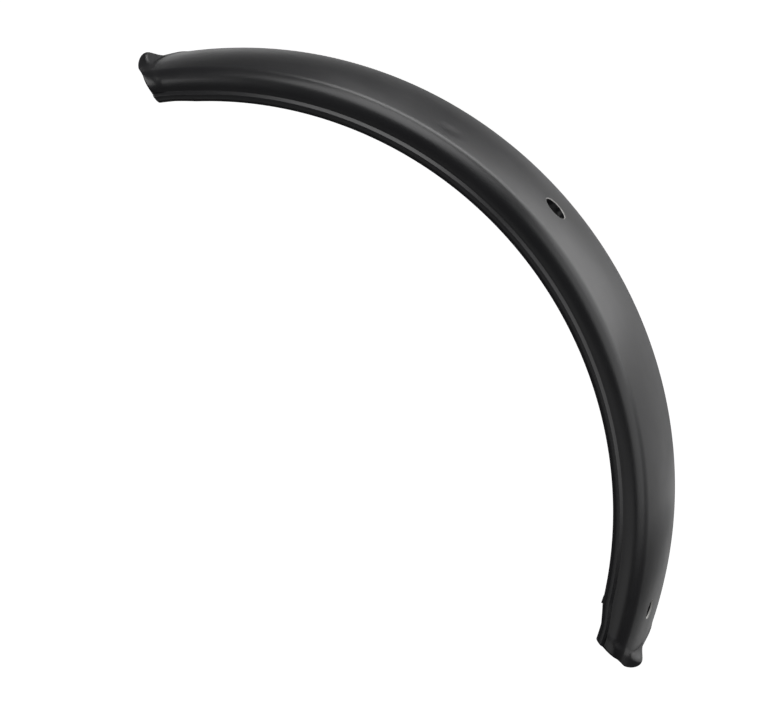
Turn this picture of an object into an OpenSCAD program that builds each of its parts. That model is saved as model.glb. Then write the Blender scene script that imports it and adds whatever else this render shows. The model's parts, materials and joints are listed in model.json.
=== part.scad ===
// Mudguard for the wheel of a small scooter, moulded in one piece.
// The section is a slightly domed crown with round shoulders, short side walls and an
// edge bead. It is revolved about the wheel's axle, and both ends are cut on a slant
// and flared into a rolled lip. Two holes in the crown take the fixing screws.
//
// Frame: the wheel's axle runs along Y, +Z is up, and the guard stands as it is fitted.
// The origin is the centre of the bolt hole, midway through the wall.

/* [Arc] */
// Radius of the crown's outer face, from the wheel's axle
crown_r = 110; // [95:1:130]
// Angle between the two corners of a side edge
edge_span = 118.5; // [90:0.1:140]
// Direction of the middle of the arc, above the horizontal
arc_middle = 40.65; // [20:0.05:60]

/* [Section] */
// Width over the edge beads
guard_w = 40; // [32:0.5:56]
// Thickness of the moulded wall
wall_t = 1.6; // [1.2:0.1:2.4]
// Radius of the slight dome across the crown
dome_r = 150; // [120:5:400]
// Outer radius of the shoulders between crown and side walls
shoulder_r = 5; // [3.5:0.1:7]
// Straight part of the side wall, between shoulder and bead fillet
skirt_h = 0.35; // [0.2:0.05:6]
// How far the edge bead stands out from the side wall
bead_proud = 0.9; // [0.5:0.1:1.6]
// Radius of the hollow between side wall and bead
bead_fillet_r = 0.8; // [0.5:0.1:1.5]

/* [Ends] */
// Length of each shaped end, measured back along the crown from the corner of the edge
end_zone = 10.8; // [9.5:0.1:14]
// How far the slanted cut carries the crown past the corner of the edge
slant_reach = 4.5; // [2:0.1:6]
// How far the rounded nose carries the crown's middle further still
nose_reach = 4.4; // [1:0.1:7]
// How full the nose is: 2 is a parabola, less is more pointed
nose_power = 1.5; // [1.3:0.1:4]
// How far the edge rises towards the crown, at the lower corner
lower_lift = 1.1; // [0:0.1:1.5]
// How far the edge rises towards the crown, at the upper corner
upper_lift = 0.4; // [0:0.1:1.5]
// Height of the rolled lip in the middle of the crown
lip_h = 2.5; // [1:0.1:3]
// Height of the lip over the shoulders
lip_side_h = 0.2; // [0.1:0.05:0.8]
// Half the width of the lip's raised middle
lip_span = 9; // [8:0.5:16]
// Length of the lip's roll, from the end to its crest
lip_roll = 2; // [1.2:0.1:2.5]
// Length of the whole lip, from the end to the plain crown
lip_len = 4.6; // [3.5:0.1:7]

/* [Holes] */
// Bolt hole near the middle of the arc, clearance for a 6 mm screw
bolt_hole_d = 6.6; // [5:0.1:8]
// Direction of the bolt hole, above the horizontal
bolt_hole_at = 42.3; // [30:0.1:60]
// Screw hole near the lower end, clearance for a 4 mm screw
screw_hole_d = 4.5; // [3.5:0.1:5]
// Distance of the screw hole from the lower corner, along the crown
screw_hole_back = 6.9; // [5:0.1:20]
// Broken edge round each hole
hole_chamfer = 0.25; // [0.1:0.05:0.4]

/* [Moulding marks] */
// Width of the shallow sink mark in the crown
sink_d = 7; // [4:0.5:9]
// Depth of the sink mark
sink_depth = 0.15; // [0.05:0.05:0.3]
// Direction of the sink mark, above the horizontal
sink_at = 59.5; // [50:0.5:75]
// Distance of the sink mark from the middle of the crown
sink_side = 8; // [0:0.5:9]
// Length of the gate mark left on the edge bead
gate_len = 2; // [1:0.1:4]
// Height of the gate mark
gate_h = 0.4; // [0.2:0.1:0.8]
// Distance of the gate mark from the lower corner, along the crown
gate_back = 10.8; // [5:0.1:30]

/* [Hidden] */

// The section is drawn in y, across the guard, and s, the depth below the crown.
half_w = guard_w / 2;
wall_y = half_w - bead_proud;
bead_r = (wall_t + bead_proud) / 2;
bead_y = half_w - bead_r;
dome_y = wall_y - shoulder_r;
dome_turn = asin(dome_y / (dome_r - shoulder_r));
shoulder_s = dome_r - (dome_r - shoulder_r) * cos(dome_turn);
fillet_y = wall_y + bead_fillet_r;
fillet_s = shoulder_s + skirt_h;
bead_drop = sqrt(pow(bead_r + bead_fillet_r, 2) - pow(fillet_y - bead_y, 2));
bead_s = fillet_s + bead_drop;
guard_depth = bead_s + bead_r;
bead_from = atan2(bead_drop, bead_y - fillet_y);

// Length of a degree of arc along the crown
per_degree = crown_r * PI / 180;

// The plain arc lies between the two shaped ends, and its halves overlap by a degree
lower_corner = arc_middle - edge_span / 2;
plain_from = lower_corner + end_zone / per_degree;
plain_span = edge_span - 2 * end_zone / per_degree;
join_overlap = 0.5;

// The nose is as wide as the crown and half of each shoulder
nose_y = dome_y + shoulder_r / 2;
// Angle below the side wall's direction at which the lip starts to rise
lip_start = 20;
// Wall of the lip's turned-down edge
lip_edge_t = min(wall_t, 0.8 * lip_roll);

// Facets along each stretch of the section, and along the lip
dome_n = 4;
shoulder_n = 7;
fillet_n = 2;
bead_n = 8;
roll_n = 6;
flare_n = 5;
run_n = 5;
turn_n = 360;

screw_hole_at = lower_corner + screw_hole_back / per_degree;
gate_at = lower_corner + gate_back / per_degree;
hole_centre_r = crown_r - wall_t / 2;
overcut = 1;

// Points of an arc as [y, s, direction of the face, height of the lip there]
function arc(y, s, r, from, to, n, lip) =
    [for (i = [0:n]) let (a = from + (to - from) * i / n)
        [y + r * cos(a), s + r * sin(a), a, lip ? lip_height(y + r * cos(a), a) : 0]];
function ease(x) = (1 - cos(180 * max(0, min(1, x)))) / 2;
function lip_height(y, a) =
    lip_side_h * ease(-a / lip_start) + (lip_h - lip_side_h) * ease(1 - y / lip_span);
function tail(list) = [for (i = [1:len(list) - 1]) list[i]];

outer_half = concat(
    arc(0, dome_r, dome_r, -90, dome_turn - 90, dome_n, true),
    tail(arc(dome_y, shoulder_s, shoulder_r, dome_turn - 90, 0, shoulder_n, true)),
    arc(fillet_y, fillet_s, bead_fillet_r, 180, bead_from, fillet_n, false),
    tail(arc(bead_y, bead_s, bead_r, bead_from - 180, 180, bead_n, false)));
inner_half = concat(
    arc(dome_y, shoulder_s, shoulder_r - wall_t, 0, dome_turn - 90, shoulder_n, true),
    tail(arc(0, dome_r, dome_r - wall_t, dome_turn - 90, -90, dome_n, true)));
half = concat(outer_half, inner_half);
outer_n = len(outer_half);
half_n = len(half);

// The closed section: one half from the crown round to the inside, then its mirror image
section = concat(
    [for (i = [0:half_n - 1]) concat(half[i], [1, i < outer_n ? 1 : 0])],
    [for (i = [half_n - 2:-1:1]) concat(half[i], [-1, i < outer_n ? 1 : 0])]);
section_n = len(section);

// One point p of the section: y, s, face direction, lip height, side, outer face
function across(p) = p[0] * p[4];
function end_reach(p) = slant_reach * (1 - p[1] / guard_depth)
    + nose_reach * (1 - pow(min(1, p[0] / nose_y), nose_power));
function zone_len(p) = end_zone + end_reach(p);

// Distance from the end, and share of the lip's height, at ring j counted from the end
rings = roll_n + flare_n + run_n;
function roll_turn(p, j) = 90 * (p[5] == 1 ? j / roll_n : max(0, j - 1) / (roll_n - 1));
function roll_back(p, j) = j == 0 ? 0
    : lip_roll - (lip_roll - (p[5] == 1 ? 0 : lip_edge_t)) * cos(roll_turn(p, j));
function back(p, j) = j <= roll_n ? roll_back(p, j)
    : j <= roll_n + flare_n ? lip_roll + (lip_len - lip_roll) * (j - roll_n) / flare_n
    : lip_len + (zone_len(p) - lip_len) * (j - roll_n - flare_n) / run_n;
function lip_share(p, j) = j <= roll_n ? sin(roll_turn(p, j)) : 1 - ease((j - roll_n) / flare_n);
// The edge rises towards the crown along the end zone, and the crown itself stays
lift_power = 1.4;
function lifted(s, along, lift) =
    s - lift * pow(max(0, along) / end_zone, lift_power) * pow(s / guard_depth, 2);
function end_point(p, j, lift) = let (
        along = zone_len(p) - back(p, j),
        rise = lip_share(p, j) * p[3],
        r = crown_r - lifted(p[1], along, lift) - rise * sin(p[2]),
        turn = along / per_degree)
    [r * cos(turn), r * sin(turn), across(p) + p[4] * rise * cos(p[2])];

// Faces that close a ring of the end: strips over the wall and a fan over each bead
function ring_at(i) = (i + section_n) % section_n;
function strip(i, side) =
    let (a = ring_at(side * i), b = ring_at(side * (i + 1)),
         c = ring_at(side * (half_n - 2 - i)), d = ring_at(side * (half_n - 1 - i)))
    [[a, b, c], [a, c, d]];
strip_n = dome_n + shoulder_n;
function fan(i, side) =
    [ring_at(side * (outer_n - 1)), ring_at(side * (i == strip_n - 1 ? outer_n : i)),
     ring_at(side * (i + 1))];
function cap(side) = concat(
    [for (i = [0:strip_n - 1]) each strip(i, side)],
    [for (i = [strip_n - 1:outer_n - 3]) fan(i, side)]);
function flip(faces) = [for (f = faces) [f[2], f[1], f[0]]];
function shift(faces, by) = [for (f = faces) [for (v = f) v + by]];
end_cap = concat(cap(1), flip(cap(-1)));

// One flared end, from its interface with the plain arc at angle 0
module flared_end(lift) {
    points = [for (j = [0:rings]) for (p = section) end_point(p, j, lift)];
    walls = [for (j = [0:rings - 1]) for (i = [0:section_n - 1])
        let (a = j * section_n + i, b = j * section_n + (i + 1) % section_n)
        each [[a, b + section_n, b], [a, a + section_n, b + section_n]]];
    polyhedron(points, concat(end_cap, walls, shift(flip(end_cap), rings * section_n)));
}

// Half of the guard: a flared end and a true revolve of the section, which runs just
// past the middle so that the two halves join without a seam
module half_shell(lift) {
    rotate_extrude(angle = plain_span / 2 + join_overlap, $fn = turn_n)
        polygon([for (p = section) [crown_r - p[1], across(p)]]);
    mirror([0, 1, 0]) flared_end(lift);
}

module shell() {
    half_shell(lower_lift);
    rotate(plain_span) mirror([0, 1, 0]) half_shell(upper_lift);
}

// Places a cutter on the crown, with its axis pointing outwards
module on_crown(at, side = 0) {
    rotate(at) translate([crown_r, 0, side]) rotate([0, 90, 0]) children();
}

module hole(d, at) {
    on_crown(at) {
        translate([0, 0, -wall_t - overcut]) cylinder(d = d, h = wall_t + 2 * overcut, $fn = 96);
        translate([0, 0, -hole_chamfer])
            cylinder(d1 = d, d2 = d + 2 * (hole_chamfer + overcut), h = hole_chamfer + overcut, $fn = 96);
    }
}

module sink_mark() {
    sink_r = (pow(sink_d / 2, 2) + pow(sink_depth, 2)) / (2 * sink_depth);
    sag = dome_r - sqrt(pow(dome_r, 2) - pow(sink_side, 2));
    on_crown(sink_at, sink_side) translate([0, 0, sink_r - sink_depth - sag])
        sphere(r = sink_r, $fn = 180);
}

// A small wedge on the inner edge of the bead
module gate_mark() {
    edge_r = crown_r - lifted(guard_depth, end_zone - gate_back, lower_lift);
    rotate(gate_at) translate([edge_r, 0, bead_y - bead_r / 2])
        linear_extrude(bead_r)
            polygon([[bead_r / 2, -gate_len / 2], [-gate_h, -gate_len / 2],
                     [bead_r / 2, gate_len / 2]]);
}

module mudguard() {
    color("#2b2b2c")
    translate([-hole_centre_r * cos(bolt_hole_at), 0, -hole_centre_r * sin(bolt_hole_at)])
        rotate([90, 0, 0])
            difference() {
                union() {
                    rotate(plain_from) shell();
                    gate_mark();
                }
                hole(bolt_hole_d, bolt_hole_at);
                hole(screw_hole_d, screw_hole_at);
                sink_mark();
            }
}

mudguard();
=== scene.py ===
# %% [markdown]
# # A moulded mudguard for a small scooter
#
# The guard is one black plastic moulding: a curved channel that covers the upper front part of a
# wheel. Its crown is slightly domed, round shoulders lead to short side walls, and a bead
# stiffens each edge. Both ends are cut on a slant, rounded to a nose and rolled outwards.
#
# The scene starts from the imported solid, which gives the size and the place of everything.

# %% Load the frame
import json
import math

import bpy
import bmesh
from mathutils import Matrix, Vector


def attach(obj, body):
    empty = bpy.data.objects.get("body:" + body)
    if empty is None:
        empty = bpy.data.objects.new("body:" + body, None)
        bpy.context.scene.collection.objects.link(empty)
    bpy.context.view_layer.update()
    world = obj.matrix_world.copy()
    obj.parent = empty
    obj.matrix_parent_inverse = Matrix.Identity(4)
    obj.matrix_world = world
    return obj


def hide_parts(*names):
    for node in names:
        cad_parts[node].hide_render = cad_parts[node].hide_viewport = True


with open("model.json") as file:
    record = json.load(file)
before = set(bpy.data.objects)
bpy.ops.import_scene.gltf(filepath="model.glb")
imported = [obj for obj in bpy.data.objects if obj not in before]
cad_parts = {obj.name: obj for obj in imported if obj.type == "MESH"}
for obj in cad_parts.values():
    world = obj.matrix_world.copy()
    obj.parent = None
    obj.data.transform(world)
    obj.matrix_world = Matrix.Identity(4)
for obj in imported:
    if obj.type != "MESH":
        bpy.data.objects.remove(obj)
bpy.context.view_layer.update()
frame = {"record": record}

# %% [markdown]
# ## Sizes
#
# The driving sizes are those of the real part, in millimetres, and are turned to metres once.
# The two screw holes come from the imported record, so they can't drift from the solid.
# A moulder's drawing would give the same list: radii of the section first, then the ends. The
# top of the bead slopes by fifty degrees, which gives the line of light along the real edge.

# %% Driving sizes
MM = 0.001
HAIR = 0.01 * MM
CROWN_R = 110.0 * MM
EDGE_SPAN = math.radians(118.5)
ARC_MIDDLE = math.radians(40.65)
HALF_W = 20.0 * MM
WALL = 1.6 * MM
DOME_R = 150.0 * MM
SHOULDER_R = 5.0 * MM
SKIRT_H = 0.48 * MM
BEAD_PROUD = 0.9 * MM
FILLET_R = 0.2 * MM
CORNER_R = 0.25 * MM
BEAD_FLAT = 0.6 * MM
BEAD_SLOPE = math.radians(50)

END_ZONE = 10.8 * MM
SLANT_REACH = 4.5 * MM
NOSE_REACH = 4.4 * MM
LOWER_LIFT = 1.1 * MM
UPPER_LIFT = 0.4 * MM
LIP_H = 2.5 * MM
LIP_SIDE_H = 0.2 * MM
LIP_SPAN = 9.0 * MM
LIP_ROLL = 2.0 * MM
LIP_LEN = 4.6 * MM

holes = {m["name"]: m for m in frame["record"]["mounts"]}
bolt_axis = Vector(holes["bolt_hole"]["axis"])
AXLE = -bolt_axis * (CROWN_R - WALL / 2)
print("wheel axle at", [round(c * 1000, 2) for c in AXLE], "mm")

# %% [markdown]
# The rest follows by trigonometry. The dome and the shoulder share a tangent where they meet, and
# so do the stretches of the bead, which is how the section closes without a kink.

# %% Sizes that follow from them
wall_z = HALF_W - BEAD_PROUD
bead_r = (WALL + BEAD_PROUD) / 2
bead_z = HALF_W - bead_r
dome_z = wall_z - SHOULDER_R
dome_turn = math.asin(dome_z / (DOME_R - SHOULDER_R))
shoulder_depth = DOME_R - (DOME_R - SHOULDER_R) * math.cos(dome_turn)
fillet_z = wall_z + FILLET_R
fillet_depth = shoulder_depth + SKIRT_H
both_r = FILLET_R + CORNER_R
slope_run = (BEAD_PROUD - both_r * (1 - math.cos(BEAD_SLOPE))) / math.sin(BEAD_SLOPE)
bead_drop = BEAD_FLAT + both_r * math.sin(BEAD_SLOPE) + slope_run * math.cos(BEAD_SLOPE)
bead_depth = fillet_depth + bead_drop
guard_depth = bead_depth + bead_r
corner_x = EDGE_SPAN * CROWN_R / 2
plain_x = corner_x - END_ZONE
print(f"section is {guard_depth / MM:.2f} mm deep, {2 * corner_x / MM:.1f} mm along the edge")

# %% [markdown]
# ## Small helpers for edit mode
#
# Every operator acts on what is selected, so a few helpers select by place and read back what
# an operator left selected. They keep the modelling steps below short.

# %% Selection helpers
def only(piece):
    """Deselects everything, then makes one piece selected and active."""
    if bpy.context.object and bpy.context.object.mode != "OBJECT":
        bpy.ops.object.mode_set(mode="OBJECT")
    bpy.ops.object.select_all(action="DESELECT")
    piece.select_set(True)
    bpy.context.view_layer.objects.active = piece


def edit(piece):
    """Opens a piece in edit mode, on points, with nothing selected."""
    only(piece)
    bpy.ops.object.mode_set(mode="EDIT")
    bpy.ops.mesh.select_mode(type="VERT")
    bpy.ops.mesh.select_all(action="DESELECT")


def mesh_of(piece):
    """The edit mesh, with its lookup tables ready."""
    mesh = bmesh.from_edit_mesh(piece.data)
    mesh.verts.ensure_lookup_table()
    return mesh


def pick(piece, test):
    """Selects the visible points that pass a test, and returns their numbers."""
    mesh = mesh_of(piece)
    found = []
    for v in mesh.verts:
        v.select_set(False)
    for v in mesh.verts:
        if not v.hide and test(v):
            v.select_set(True)
            found.append(v.index)
    mesh.select_flush_mode()
    bmesh.update_edit_mesh(piece.data)
    return found


def picked(piece):
    """The numbers of the points that are selected now."""
    return [v.index for v in mesh_of(piece).verts if v.select]


def mark(piece, name, test):
    """Puts the points that pass a test in a named vertex group."""
    pick(piece, test)
    piece.vertex_groups.new(name=name)
    bpy.ops.object.vertex_group_assign()


def marked(piece, name):
    """The numbers of the points in a vertex group, which extruded points inherit."""
    mesh = mesh_of(piece)
    layer = mesh.verts.layers.deform.active
    group = piece.vertex_groups[name].index
    return set(v.index for v in mesh.verts if group in v[layer])


def finish_modifier(piece, kind, **settings):
    """Adds a modifier, sets it and applies it."""
    only(piece)
    modifier = piece.modifiers.new(kind.title(), kind)
    for name, value in settings.items():
        setattr(modifier, name, value)
    bpy.ops.object.modifier_apply(modifier=modifier.name)


# %% [markdown]
# ## The section
#
# A moulding like this is drawn as one half of its section: an arc for the dome, an arc for the
# shoulder, a short straight wall, a small hollow, the bead's sloping top and its round lower
# half, and back up the inside. It could be typed in as points, but nearly every stretch is an
# arc, so a single point is spun from stretch to stretch, as with a pair of compasses. X runs
# along the guard, Y points out of the crown and Z runs across. The guard is modelled straight,
# and bent only when its ends are done.
#
# Two vertex groups are kept, because extruded points inherit them: the inner face, and the bead.

# %% Draw half of the section
SPIN_AXIS = (1, 0, 0)
DOME_STEPS = 18
SHOULDER_STEPS = 12
FILLET_STEPS = 4
CORNER_STEPS = 5
BEAD_STEPS = 16


def swing(centre_y, centre_z, turn, steps):
    """Carries the selected point round a centre and leaves an arc behind it."""
    bpy.ops.mesh.spin(steps=steps, angle=turn, center=(0, centre_y, centre_z), axis=SPIN_AXIS)


def draw_to(dy, dz=0.0):
    """Carries the selected point along a straight line."""
    bpy.ops.mesh.extrude_region_move(TRANSFORM_OT_translate={"value": (0, dy, dz)})


bpy.ops.object.select_all(action="DESELECT")
bpy.ops.mesh.primitive_plane_add(size=WALL, location=(0, 0, 0))
guard = bpy.context.object
guard.name = "mudguard_shell"
edit(guard)
bpy.ops.mesh.select_all(action="SELECT")
bpy.ops.mesh.merge(type="CENTER")
swing(-DOME_R, 0, -dome_turn, DOME_STEPS)
swing(-shoulder_depth, dome_z, dome_turn - math.pi / 2, SHOULDER_STEPS)
draw_to(-SKIRT_H)
swing(-fillet_depth, fillet_z, BEAD_SLOPE, FILLET_STEPS)
draw_to(-slope_run * math.cos(BEAD_SLOPE), slope_run * math.sin(BEAD_SLOPE))
swing(BEAD_FLAT - bead_depth, HALF_W - CORNER_R, -BEAD_SLOPE, CORNER_STEPS)
draw_to(-BEAD_FLAT)
swing(-bead_depth, bead_z, -math.pi, BEAD_STEPS)
outside_n = len(mesh_of(guard).verts)
draw_to(bead_depth - shoulder_depth)
swing(-shoulder_depth, dome_z, math.pi / 2 - dome_turn, SHOULDER_STEPS)
swing(-DOME_R, 0, dome_turn, DOME_STEPS)
last = mesh_of(guard).verts[picked(guard)[0]].co
print("half section ends at", [round(c / MM, 3) for c in last], "mm")
mark(guard, "inside", lambda v: v.index >= outside_n)
mark(guard, "bead", lambda v: v.index < outside_n and v.co.y < -fillet_depth - FILLET_R / 2)

# %% [markdown]
# ## The straight channel
#
# The half is mirrored into a closed section, which is pulled along the guard in one extrusion.
# The long edges are then divided, so that the channel has enough rings to bend smoothly later.
# They are divided twice, because one call makes a hundred cuts at most.

# %% Mirror the section and pull it out
bpy.ops.object.mode_set(mode="OBJECT")
finish_modifier(guard, "MIRROR", use_axis=(False, False, True), merge_threshold=HAIR)
edit(guard)
bpy.ops.mesh.select_all(action="SELECT")
bpy.ops.mesh.remove_doubles(threshold=0.1 * HAIR)
bpy.ops.transform.translate(value=(-plain_x, 0, 0))
bpy.ops.mesh.extrude_region_move(TRANSFORM_OT_translate={"value": (2 * plain_x, 0, 0)})
section_n = len(picked(guard))


def divide(piece, joins, cuts):
    """Divides the edges whose two ends pass a test."""
    bpy.ops.mesh.select_mode(type="EDGE")
    mesh = mesh_of(piece)
    for edge in mesh.edges:
        edge.select_set(joins(*edge.verts))
    bmesh.update_edit_mesh(piece.data)
    bpy.ops.mesh.subdivide(number_cuts=cuts)
    bpy.ops.mesh.select_mode(type="VERT")


def lengthways(a, b):
    """Tells whether an edge runs along the guard."""
    return abs(a.co.x - b.co.x) > HAIR


FIRST_CUTS = 99
divide(guard, lengthways, FIRST_CUTS)
divide(guard, lengthways, 1)
print(section_n, "points round the section,", len(mesh_of(guard).verts), "points in the channel")

# %% [markdown]
# ## The ends
#
# On the real part the mould rolls each end outwards, so that no sharp edge faces the rider.
# Seen from the side the end is slanted, and seen from above it is a rounded nose. The end ring
# is pulled out once, turned to the slant and drawn forward in the middle with a soft falloff.
# Each further ring is a copy of that shaped ring, so the lip runs parallel to the edge, and is
# then raised in the middle by its own share of the lip's height.

# %% Tools for an end
NOSE_HALF_W = dome_z + SHOULDER_R / 2
ROLL_RINGS = 10
FLARE_RINGS = 10
RUN_CUTS = 7
EDGE_ROUND = 0.3 * MM
SMALL = 0.001
LIFTS = {1: UPPER_LIFT, -1: LOWER_LIFT}


def pull(piece, dx):
    """Extrudes the selected ring along the guard and returns the new ring."""
    bpy.ops.mesh.extrude_region_move(TRANSFORM_OT_translate={"value": (dx, 0, 0)})
    return picked(piece)


def select_only(piece, numbers):
    """Selects the points with these numbers."""
    mesh = mesh_of(piece)
    wanted = set(numbers)
    for v in mesh.verts:
        v.select_set(v.index in wanted)
    mesh.select_flush_mode()
    bmesh.update_edit_mesh(piece.data)


def draw_out(piece, points, heart, move, reach, falloff):
    """Moves the heart of some points, and its neighbours ever less, with all others hidden."""
    select_only(piece, points)
    bpy.ops.mesh.hide(unselected=True)
    pick(piece, heart)
    bpy.ops.transform.translate(
        value=move,
        use_proportional_edit=True,
        proportional_edit_falloff=falloff,
        proportional_size=reach,
    )
    bpy.ops.mesh.reveal(select=False)


def in_the_middle(v):
    """Tells whether a point lies on the middle plane."""
    return abs(v.co.z) < HAIR


def slant(side):
    """Turns the end ring to the slanted cut, and keeps its depth apart from the edge's rise."""
    turn = math.asin(SLANT_REACH / guard_depth)
    pivot = (side * (corner_x - LIP_LEN), -guard_depth, 0)
    bpy.ops.transform.rotate(
        value=side * turn, orient_axis="Z", orient_type="GLOBAL", center_override=pivot
    )
    depth = 1 / math.cos(turn)
    bpy.ops.transform.resize(value=(1, depth, 1), center_override=pivot)
    rise = 1 - LIFTS[side] / guard_depth
    bpy.ops.transform.resize(value=(1, rise, 1), center_override=(0, 0, 0))


def ease(share):
    """Rises softly from 0 to 1 as the share does."""
    return (1 - math.cos(math.pi * share)) / 2


def lip_stations():
    """Steps from the lip's foot to the end, and the share of the lip's height at each."""
    steps = []
    for i in range(FLARE_RINGS):
        share = (i + 1) / FLARE_RINGS
        steps.append(((LIP_LEN - LIP_ROLL) / FLARE_RINGS, ease(share)))
    for i in range(ROLL_RINGS):
        start, end = (math.pi / 2 * (i + k) / ROLL_RINGS for k in (0, 1))
        steps.append((LIP_ROLL * (math.sin(end) - math.sin(start)), math.cos(end)))
    return steps


# %% [markdown]
# A ring is raised in the middle and swells a little over the side walls, but never at the bead,
# which keeps its width. Close to the end the rings are thinned as well, each by the amount that a
# quarter circle falls away, and so the wall ends in a small round edge as a moulding does.

# %% The lip and the mould radius
def run_between(plain, foot):
    """Tells whether an edge runs from the last plain ring to the foot of the lip."""
    starts, stops = set(plain), set(foot)

    def joins(a, b):
        return (a.index in starts and b.index in stops) or (
            b.index in starts and a.index in stops
        )

    return joins


def widen(piece, ring, rise):
    """Swells part of a ring outwards over the crown, the shoulders and the side walls."""
    select_only(piece, ring)
    bpy.ops.transform.translate(value=(0, rise, 0))
    bpy.ops.transform.resize(value=(1, 1, 1 + rise / wall_z), center_override=(0, 0, 0))


def round_off(piece, ring, to_go, side, inside, bead):
    """Thins a ring near the end from both faces, as the mould's small edge radius does."""
    in_by = EDGE_ROUND - math.sqrt(EDGE_ROUND**2 - (EDGE_ROUND - to_go) ** 2)
    widen(piece, set(ring) & inside, in_by)
    widen(piece, set(ring) - inside - bead, -in_by)
    smaller = 1 - in_by / bead_r
    heart_y = -bead_depth * (1 - LIFTS[side] / guard_depth)
    for across in (-1, 1):
        mesh = mesh_of(piece)
        select_only(piece, [i for i in set(ring) & bead if mesh.verts[i].co.z * across > 0])
        heart = (0, heart_y, across * bead_z)
        bpy.ops.transform.resize(value=(1, smaller, smaller), center_override=heart)


# %% [markdown]
# The two ends differ only in their side and in how far their edge rises, so one function shapes
# both. The slant and the nose are given to the foot of the lip, and each ring after it is pulled
# from the one before.

# %% Shape both ends
def shape_end(piece, side):
    """Pulls out one end, slants it, rounds its nose and rolls its lip. side is 1 or -1."""
    plain = pick(piece, lambda v: abs(v.co.x - side * plain_x) < HAIR)
    foot = pull(piece, side * (END_ZONE - LIP_LEN))
    slant(side)
    for falloff in ("INVERSE_SQUARE", "SMOOTH"):
        half_reach = (side * NOSE_REACH / 2, 0, 0)
        draw_out(piece, foot, in_the_middle, half_reach, NOSE_HALF_W, falloff)
    select_only(piece, foot)
    rings = []
    to_go = LIP_LEN
    for step, share in lip_stations():
        to_go -= step
        rings.append((pull(piece, side * step), share, max(0, to_go)))
    inside, bead = marked(piece, "inside"), marked(piece, "bead")
    for ring, share, to_go in rings:
        if share > SMALL:
            rise = (0, (LIP_H - LIP_SIDE_H) * share, 0)
            draw_out(piece, ring, in_the_middle, rise, LIP_SPAN, "SMOOTH")
            widen(piece, set(ring) - bead, LIP_SIDE_H * share)
    for ring, share, to_go in rings:
        if to_go < EDGE_ROUND:
            round_off(piece, ring, to_go, side, inside, bead)
    divide(piece, run_between(plain, foot), RUN_CUTS)
    return rings[-1][0]


edit(guard)
ends = {side: shape_end(guard, side) for side in (1, -1)}
xs = [v.co.x / MM for v in mesh_of(guard).verts]
print(f"straight guard runs from {min(xs):.1f} to {max(xs):.1f} mm")

# %% [markdown]
# ## Closing the ends
#
# The rings are still open at both ends. Over the crown and the shoulders the outer and the inner
# edge run side by side with as many points, so they are bridged. What is left is the bead's flat
# end, and one face fills it.

# %% Close the ends
def open_edges(piece, keep):
    """Selects the open edges of the mesh whose two points pass a test."""
    bpy.ops.mesh.select_mode(type="EDGE")
    mesh = mesh_of(piece)
    for edge in mesh.edges:
        edge.select_set(edge.is_boundary and all(keep(v) for v in edge.verts))
    bmesh.update_edit_mesh(piece.data)


def close_end(piece, ring, side):
    """Bridges the wall of one end and fills the end of each bead."""
    mesh = mesh_of(piece)
    wall_end = -(shoulder_depth + SKIRT_H / 3) * (1 - LIFTS[side] / guard_depth)
    above = set(i for i in ring if mesh.verts[i].co.y > wall_end)
    rest = set(ring)
    open_edges(piece, lambda v: v.index in above)
    bpy.ops.mesh.bridge_edge_loops()
    for across in (-1, 1):
        open_edges(piece, lambda v: v.index in rest and v.co.z * across > 0)
        bpy.ops.mesh.edge_face_add()


for side, ring in ends.items():
    close_end(guard, ring, side)
bpy.ops.mesh.select_all(action="SELECT")
bpy.ops.mesh.normals_make_consistent(inside=False)
left_open = sum(edge.is_boundary for edge in mesh_of(guard).edges)
print("open edges left:", left_open)

# %% [markdown]
# ## A sink mark
#
# Where the plastic was thick, the crown has shrunk a little as it cooled and left a shallow
# dimple. It is only seen by the way it bends the light, so it is a soft push of a tenth of a
# millimetre or two into the outer skin alone.

# %% Press in the sink mark
SINK_AT = math.radians(59.5)
SINK_SIDE = 8.0 * MM
SINK_R = 4.2 * MM
SINK_DEPTH = 0.15 * MM
sink_x = (SINK_AT - ARC_MIDDLE) * CROWN_R


def from_sink(v):
    """The distance of a point from the middle of the mark."""
    return math.hypot(v.co.x - sink_x, v.co.z + SINK_SIDE)


skin = pick(guard, lambda v: v.co.y > -WALL / 2 and from_sink(v) < 2 * SINK_R)
nearest = min(from_sink(mesh_of(guard).verts[i]) for i in skin)
press = (0, -SINK_DEPTH, 0)
draw_out(guard, skin, lambda v: from_sink(v) < nearest + HAIR, press, SINK_R, "SMOOTH")
print(len(skin), "points of the outer skin lie round the sink mark")

# %% [markdown]
# ## The bend
#
# A Simple Deform modifier bends the straight guard about the wheel's axle. It turns each point by
# its distance along the guard over the crown's radius, so the crown keeps its length and the side
# walls are shortened, just as they are in the mould. Then the guard is set over its wheel.

# %% Bend the guard and set it in place
bpy.ops.object.mode_set(mode="OBJECT")
span = max(xs) - min(xs)
finish_modifier(
    guard,
    "SIMPLE_DEFORM",
    deform_method="BEND",
    deform_axis="Z",
    angle=-span * MM / CROWN_R,
)
outward = Vector((math.cos(ARC_MIDDLE), 0, math.sin(ARC_MIDDLE)))
along = Vector((-math.sin(ARC_MIDDLE), 0, math.cos(ARC_MIDDLE)))
away = Vector((0, 1, 0))
place = Matrix((along, outward, away)).transposed().to_4x4()
place.translation = AXLE + outward * CROWN_R
guard.matrix_world = place
only(guard)
bpy.ops.object.transform_apply(location=True, rotation=True, scale=True)
radii = [math.hypot(v.co.x - AXLE.x, v.co.z - AXLE.z) / MM for v in guard.data.vertices]
print(f"radii from the axle run from {min(radii):.2f} to {max(radii):.2f} mm")

# %% [markdown]
# ## The screw holes
#
# Each hole was drilled, so its rim is a small chamfer where the drill broke the skin. The cutter
# carries that rim: a round bar that opens into a cone just below the crown. It is cut out with a
# Boolean, which is exact on a closed mesh.

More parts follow.
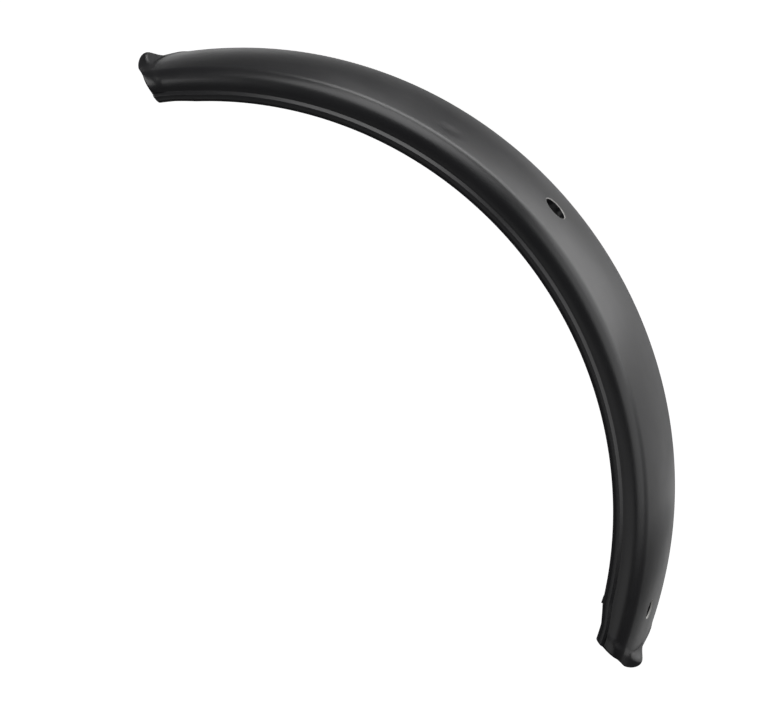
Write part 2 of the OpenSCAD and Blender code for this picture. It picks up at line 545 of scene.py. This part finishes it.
# %% Drill the two holes
OVERCUT = 1.0 * MM
HOLE_SIDES = 96


def cutter(radius, chamfer):
    """A bar along +Z whose chamfer starts just below the crown at height zero."""
    bpy.ops.object.select_all(action="DESELECT")
    bottom = -(WALL + OVERCUT)
    bpy.ops.mesh.primitive_circle_add(vertices=HOLE_SIDES, radius=radius, fill_type="NGON")
    bar = bpy.context.object
    edit(bar)
    bpy.ops.mesh.select_all(action="SELECT")
    bpy.ops.transform.translate(value=(0, 0, bottom))
    lift = {"value": (0, 0, -chamfer - bottom)}
    bpy.ops.mesh.extrude_region_move(TRANSFORM_OT_translate=lift)
    lift = {"value": (0, 0, chamfer + OVERCUT)}
    bpy.ops.mesh.extrude_region_move(TRANSFORM_OT_translate=lift)
    wider = 1 + (chamfer + OVERCUT) / radius
    bpy.ops.transform.resize(value=(wider, wider, 1))
    bpy.ops.mesh.select_all(action="SELECT")
    bpy.ops.mesh.normals_make_consistent(inside=False)
    bpy.ops.object.mode_set(mode="OBJECT")
    return bar


def drill(piece, hole, chamfer):
    """Cuts one hole of the record through the crown."""
    axis = Vector(hole["axis"])
    bar = cutter(hole["dims"]["r_mm"] * MM, chamfer)
    bar.matrix_world = axis.to_track_quat("Z", "Y").to_matrix().to_4x4()
    bar.location = Vector(hole["pos_m"]) + axis * WALL / 2
    finish_modifier(piece, "BOOLEAN", operation="DIFFERENCE", solver="EXACT", object=bar)
    bpy.data.objects.remove(bar)


RIMS = {"bolt_hole": 0.25 * MM, "screw_hole": 0.4 * MM}
for name, chamfer in RIMS.items():
    drill(guard, holes[name], chamfer)
print(len(guard.data.polygons), "faces after drilling")

# %% [markdown]
# ## The gate mark
#
# Where the sprue was twisted off, a small wedge of plastic stays on the edge of one bead. It is
# a cube with one edge pushed in, joined to the bead.

# %% Leave the gate mark
GATE_AT = math.radians(-12.65)
GATE_LEN = 2.0 * MM
GATE_H = 0.22 * MM
GATE_W = bead_r


def sloped(v):
    """Tells whether a point is on the edge of the cube that is pushed in."""
    return v.co.x > 0 and v.co.y < 0


bpy.ops.object.select_all(action="DESELECT")
bpy.ops.mesh.primitive_cube_add(size=1)
gate = bpy.context.object
gate.name = "gate_mark"
edit(gate)
bpy.ops.mesh.select_all(action="SELECT")
bpy.ops.transform.resize(value=(GATE_LEN, 2 * GATE_H, GATE_W))
pick(gate, sloped)
bpy.ops.transform.translate(value=(0, GATE_H, 0))
bpy.ops.object.mode_set(mode="OBJECT")
gate_out = Vector((math.cos(GATE_AT), 0, math.sin(GATE_AT)))
gate_along = Vector((-math.sin(GATE_AT), 0, math.cos(GATE_AT)))
place = Matrix((gate_along, gate_out, away)).transposed().to_4x4()
place.translation = AXLE + gate_out * (CROWN_R - guard_depth) - away * bead_z
gate.matrix_world = place
finish_modifier(guard, "BOOLEAN", operation="UNION", solver="EXACT", object=gate)
bpy.data.objects.remove(gate)

# %% [markdown]
# The Booleans leave a few points on top of each other. They are merged, the normals are turned
# outwards, and every edge has to have a face on both sides. Shading is smooth except at edges
# sharper than the arcs' own steps.

# %% Clean and shade the finished shell
SHARP = math.radians(32)
edit(guard)
bpy.ops.mesh.select_all(action="SELECT")
bpy.ops.mesh.remove_doubles(threshold=0.2 * HAIR)
bpy.ops.mesh.normals_make_consistent(inside=False)
unclosed = sum(not edge.is_manifold for edge in mesh_of(guard).edges)
bpy.ops.object.mode_set(mode="OBJECT")
only(guard)
bpy.ops.object.shade_smooth_by_angle(angle=SHARP)
print("edges that don't close:", unclosed)

# %% [markdown]
# ## The plastic
#
# The real guard is injection-moulded polypropylene, filled with carbon black. The mould was
# finely spark-eroded, which leaves a satin skin with a grain of about a fifth of a millimetre:
# deep black where it faces the dark, and a soft grey sheen where it faces the light. Its gloss
# drifts a little from place to place. On the chamfered rims of the holes a pale grey is painted
# into the colour as a painted highlight, the thin bright line beside each hole.

# %% Material helpers
def linear(code):
    """An sRGB hex code as a linear colour."""
    def channel(pair):
        c = int(pair, 16) / 255
        return c / 12.92 if c <= 0.04045 else ((c + 0.055) / 1.055) ** 2.4
    return tuple(channel(code[i:i + 2]) for i in (1, 3, 5)) + (1.0,)


def add(tree, kind, links=None, **settings):
    """Adds a node, sets its inputs or properties, and links its inputs."""
    node = tree.nodes.new(kind)
    for name, value in settings.items():
        if name in node.inputs:
            node.inputs[name].default_value = value
        else:
            setattr(node, name, value)
    for socket, source in (links or {}).items():
        tree.links.new(source, node.inputs[socket])
    return node


# %% [markdown]
# The grain is a fine noise that only tilts the surface. The rims that carry the painted highlight
# are found by the distance from the axis of each hole, so they keep their place if a hole moves.

# %% Moulded polypropylene
GRAIN = 0.22 * MM
plastic = bpy.data.materials.new("moulded_polypropylene_satin_black")
plastic.use_nodes = True
tree = plastic.node_tree
tree.nodes.clear()
where = add(tree, "ShaderNodeTexCoord").outputs["Object"]
grain = add(
    tree, "ShaderNodeTexNoise", {"Vector": where}, Scale=1 / (2 * GRAIN), Detail=2.0, Roughness=0.55
)
bump = add(
    tree, "ShaderNodeBump", {"Height": grain.outputs["Fac"]}, Strength=0.25, Distance=0.02 * MM
)
clouds = add(tree, "ShaderNodeTexNoise", {"Vector": where}, Scale=90.0, Detail=4.0)
gloss = add(tree, "ShaderNodeMapRange", {"Value": clouds.outputs["Fac"]})
gloss.inputs["From Min"].default_value = 0.3
gloss.inputs["From Max"].default_value = 0.7
gloss.inputs["To Min"].default_value = 0.30
gloss.inputs["To Max"].default_value = 0.35


# A mask for the painted highlight: the chamfered rim of one hole.
def rim_highlight_mask(hole, chamfer):
    """One on the chamfered rim of a hole, where a highlight is painted, and nought elsewhere."""
    to_hole = add(tree, "ShaderNodeVectorMath", {0: where}, operation="SUBTRACT")
    to_hole.inputs[1].default_value = hole["pos_m"]
    off_axis = add(
        tree, "ShaderNodeVectorMath", {0: to_hole.outputs[0]}, operation="CROSS_PRODUCT"
    )
    off_axis.inputs[1].default_value = hole["axis"]
    length = add(tree, "ShaderNodeVectorMath", {0: off_axis.outputs[0]}, operation="LENGTH")
    ring = add(tree, "ShaderNodeMath", {0: length.outputs["Value"]}, operation="COMPARE")
    ring.inputs[1].default_value = hole["dims"]["r_mm"] * MM + chamfer / 2
    ring.inputs[2].default_value = 0.45 * chamfer
    return ring.outputs["Value"]


# The two rim masks are joined into one mask for the painted highlight.
rims = [rim_highlight_mask(holes[name], chamfer) for name, chamfer in RIMS.items()]
painted_rim_highlight = add(tree, "ShaderNodeMath", {0: rims[0], 1: rims[1]}, operation="MAXIMUM")
colour = add(tree, "ShaderNodeMix", {"Factor": painted_rim_highlight.outputs["Value"]}, data_type="RGBA")
colour.inputs["A"].default_value = linear("#18181a")
# The pale grey is a painted highlight on the hole rims, laid into the colour of the black plastic.
colour.inputs["B"].default_value = linear("#a3a29f")
skin_shader = add(
    tree,
    "ShaderNodeBsdfPrincipled",
    {
        "Base Color": colour.outputs["Result"],
        "Normal": bump.outputs["Normal"],
        "Roughness": gloss.outputs["Result"],
    },
    IOR=1.49,
)
add(tree, "ShaderNodeOutputMaterial", {"Surface": skin_shader.outputs["BSDF"]})
guard.data.materials.clear()
guard.data.materials.append(plastic)
print("material:", plastic.name)

# %% [markdown]
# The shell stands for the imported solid. It has no joint, so it rides on the root body.

# %% Hand the shell to the frame
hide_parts("mudguard")
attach(guard, "root")
print("handed over:", guard.name)

# %% [markdown]
# ## Stage and camera
#
# The guard is photographed as it is fitted, held by its bolt, so the floor lies well below it.
# A studio lights its paper floor until it shows no shadow, and a glow of its own stands for that.
# The floor isn't mirrored in the plastic, which would flatten its blacks.

# %% A pale floor
FLOOR_DROP = 2.0
FLOOR_W = 60.0
bpy.ops.object.select_all(action="DESELECT")
bpy.ops.mesh.primitive_plane_add(size=FLOOR_W, location=(0, 0, -FLOOR_DROP))
floor = bpy.context.object
floor.name = "floor"
paper = bpy.data.materials.new("white_paper_floor")
paper.use_nodes = True
paper_shader = paper.node_tree.nodes["Principled BSDF"]
paper_shader.inputs["Base Color"].default_value = linear("#fbfbfb")
paper_shader.inputs["Roughness"].default_value = 0.9
paper_shader.inputs["Emission Color"].default_value = (1, 1, 1, 1)
paper_shader.inputs["Emission Strength"].default_value = 1.0
floor.data.materials.append(paper)
floor.visible_glossy = False
floor.visible_diffuse = False
print("floor lies", FLOOR_DROP, "m below the bolt hole")

# %% [markdown]
# A very long lens looks along the axle from a little above and to the lower end's side. It is
# placed by the wheel: how far the axle is turned in the picture, and where its middle lies to the
# right, down and ahead in millimetres. The guard hangs from that axle, so it falls into place.

# %% The camera
VIEW_ANGLE = math.radians(4.0)
SENSOR_W = 36.0
AXLE_TILT = math.radians(18.37)
AXLE_TURN = math.radians(36.97)
WHEEL_RIGHT = -34.515
WHEEL_DOWN = 29.45
WHEEL_AHEAD = 2794.3
axle_in_view = Vector(
    (
        math.sin(AXLE_TILT) * math.cos(AXLE_TURN),
        -math.sin(AXLE_TILT) * math.sin(AXLE_TURN),
        math.cos(AXLE_TILT),
    )
)
right_in_view = (Vector((1, 0, 0)) - axle_in_view * axle_in_view.x).normalized()
up_in_view = right_in_view.cross(axle_in_view)
if up_in_view.y > 0:
    up_in_view = -up_in_view


def from_view(v):
    """Turns a direction in the picture, right, down and ahead, into the guard's frame."""
    return Vector((v.dot(right_in_view), v.dot(axle_in_view), v.dot(up_in_view)))


picture_right = from_view(Vector((1, 0, 0)))
picture_down = from_view(Vector((0, 1, 0)))
picture_ahead = from_view(Vector((0, 0, 1)))
stand = AXLE - MM * (
    WHEEL_RIGHT * picture_right + WHEEL_DOWN * picture_down + WHEEL_AHEAD * picture_ahead
)
camera_data = bpy.data.cameras.new("long_lens")
camera_data.sensor_width = SENSOR_W
camera_data.lens = SENSOR_W / 2 / math.tan(VIEW_ANGLE / 2)
camera_data.clip_end = 200
camera = bpy.data.objects.new("camera", camera_data)
bpy.context.scene.collection.objects.link(camera)
turn = Matrix((picture_right, -picture_down, -picture_ahead)).transposed()
camera.matrix_world = Matrix.Translation(stand) @ turn.to_4x4()
bpy.context.scene.camera = camera
print("camera stands at", [round(c, 3) for c in stand], "m")

# %% [markdown]
# ## Light
#
# Satin black plastic shows little of its own colour, so the picture is made of what it mirrors.
# One large softbox stands behind the guard to the right, and its edge ends the sheen on the
# crown. A smaller box above it lights the high part of the arc. Weaker ones low behind carry the
# sheen down to the lower end. Overhead, side and left boxes pick out the bead, the lips and the
# rims of the holes, and a weak one low in front keeps the side wall from going quite black.
# Each box is given by the direction it shines from, and its brightness is that of its face.

# %% Softboxes
def softbox(name, direction, distance, width, height, brightness):
    """A rectangular area light that faces the bolt hole from one direction."""
    light_data = bpy.data.lights.new(name, "AREA")
    light_data.shape = "RECTANGLE"
    light_data.size = width
    light_data.size_y = height
    light_data.energy = math.pi * width * height * brightness
    light = bpy.data.objects.new(name, light_data)
    bpy.context.scene.collection.objects.link(light)
    direction = Vector(direction).normalized()
    light.location = direction * distance
    light.rotation_euler = direction.to_track_quat("Z", "Y").to_euler()


softbox("key", (0.651, 0.651, 0.391), 1.0, 1.063, 0.689, 1.86)
softbox("high_back", (0.148, 0.666, 0.731), 1.0, 0.565, 0.389, 2.8)
softbox("back_strip", (-0.208, 0.977, 0.044), 1.0, 0.573, 0.193, 0.95)
softbox("low_back", (0.582, 0.801, -0.139), 1.0, 1.336, 0.353, 0.41)
softbox("under_back", (0.0, 0.94, -0.34), 1.0, 0.35, 0.2, 0.6)
softbox("overhead", (0.20, -0.08, 0.97), 0.9, 0.8, 0.6, 3.1)
softbox("side", (0.90, -0.12, 0.20), 0.9, 0.85, 1.05, 1.5)
softbox("low_front", (0.15, -0.80, -0.50), 1.0, 1.0, 0.8, 0.72)
softbox("left", (-0.76, -0.32, 0.49), 1.0, 1.1, 0.6, 2.6)
world = bpy.data.worlds.new("room")
world.use_nodes = True
world.node_tree.nodes["Background"].inputs["Color"].default_value = (1, 1, 1, 1)
world.node_tree.nodes["Background"].inputs["Strength"].default_value = 0.07
bpy.context.scene.world = world
bpy.context.scene.view_settings.view_transform = "Standard"
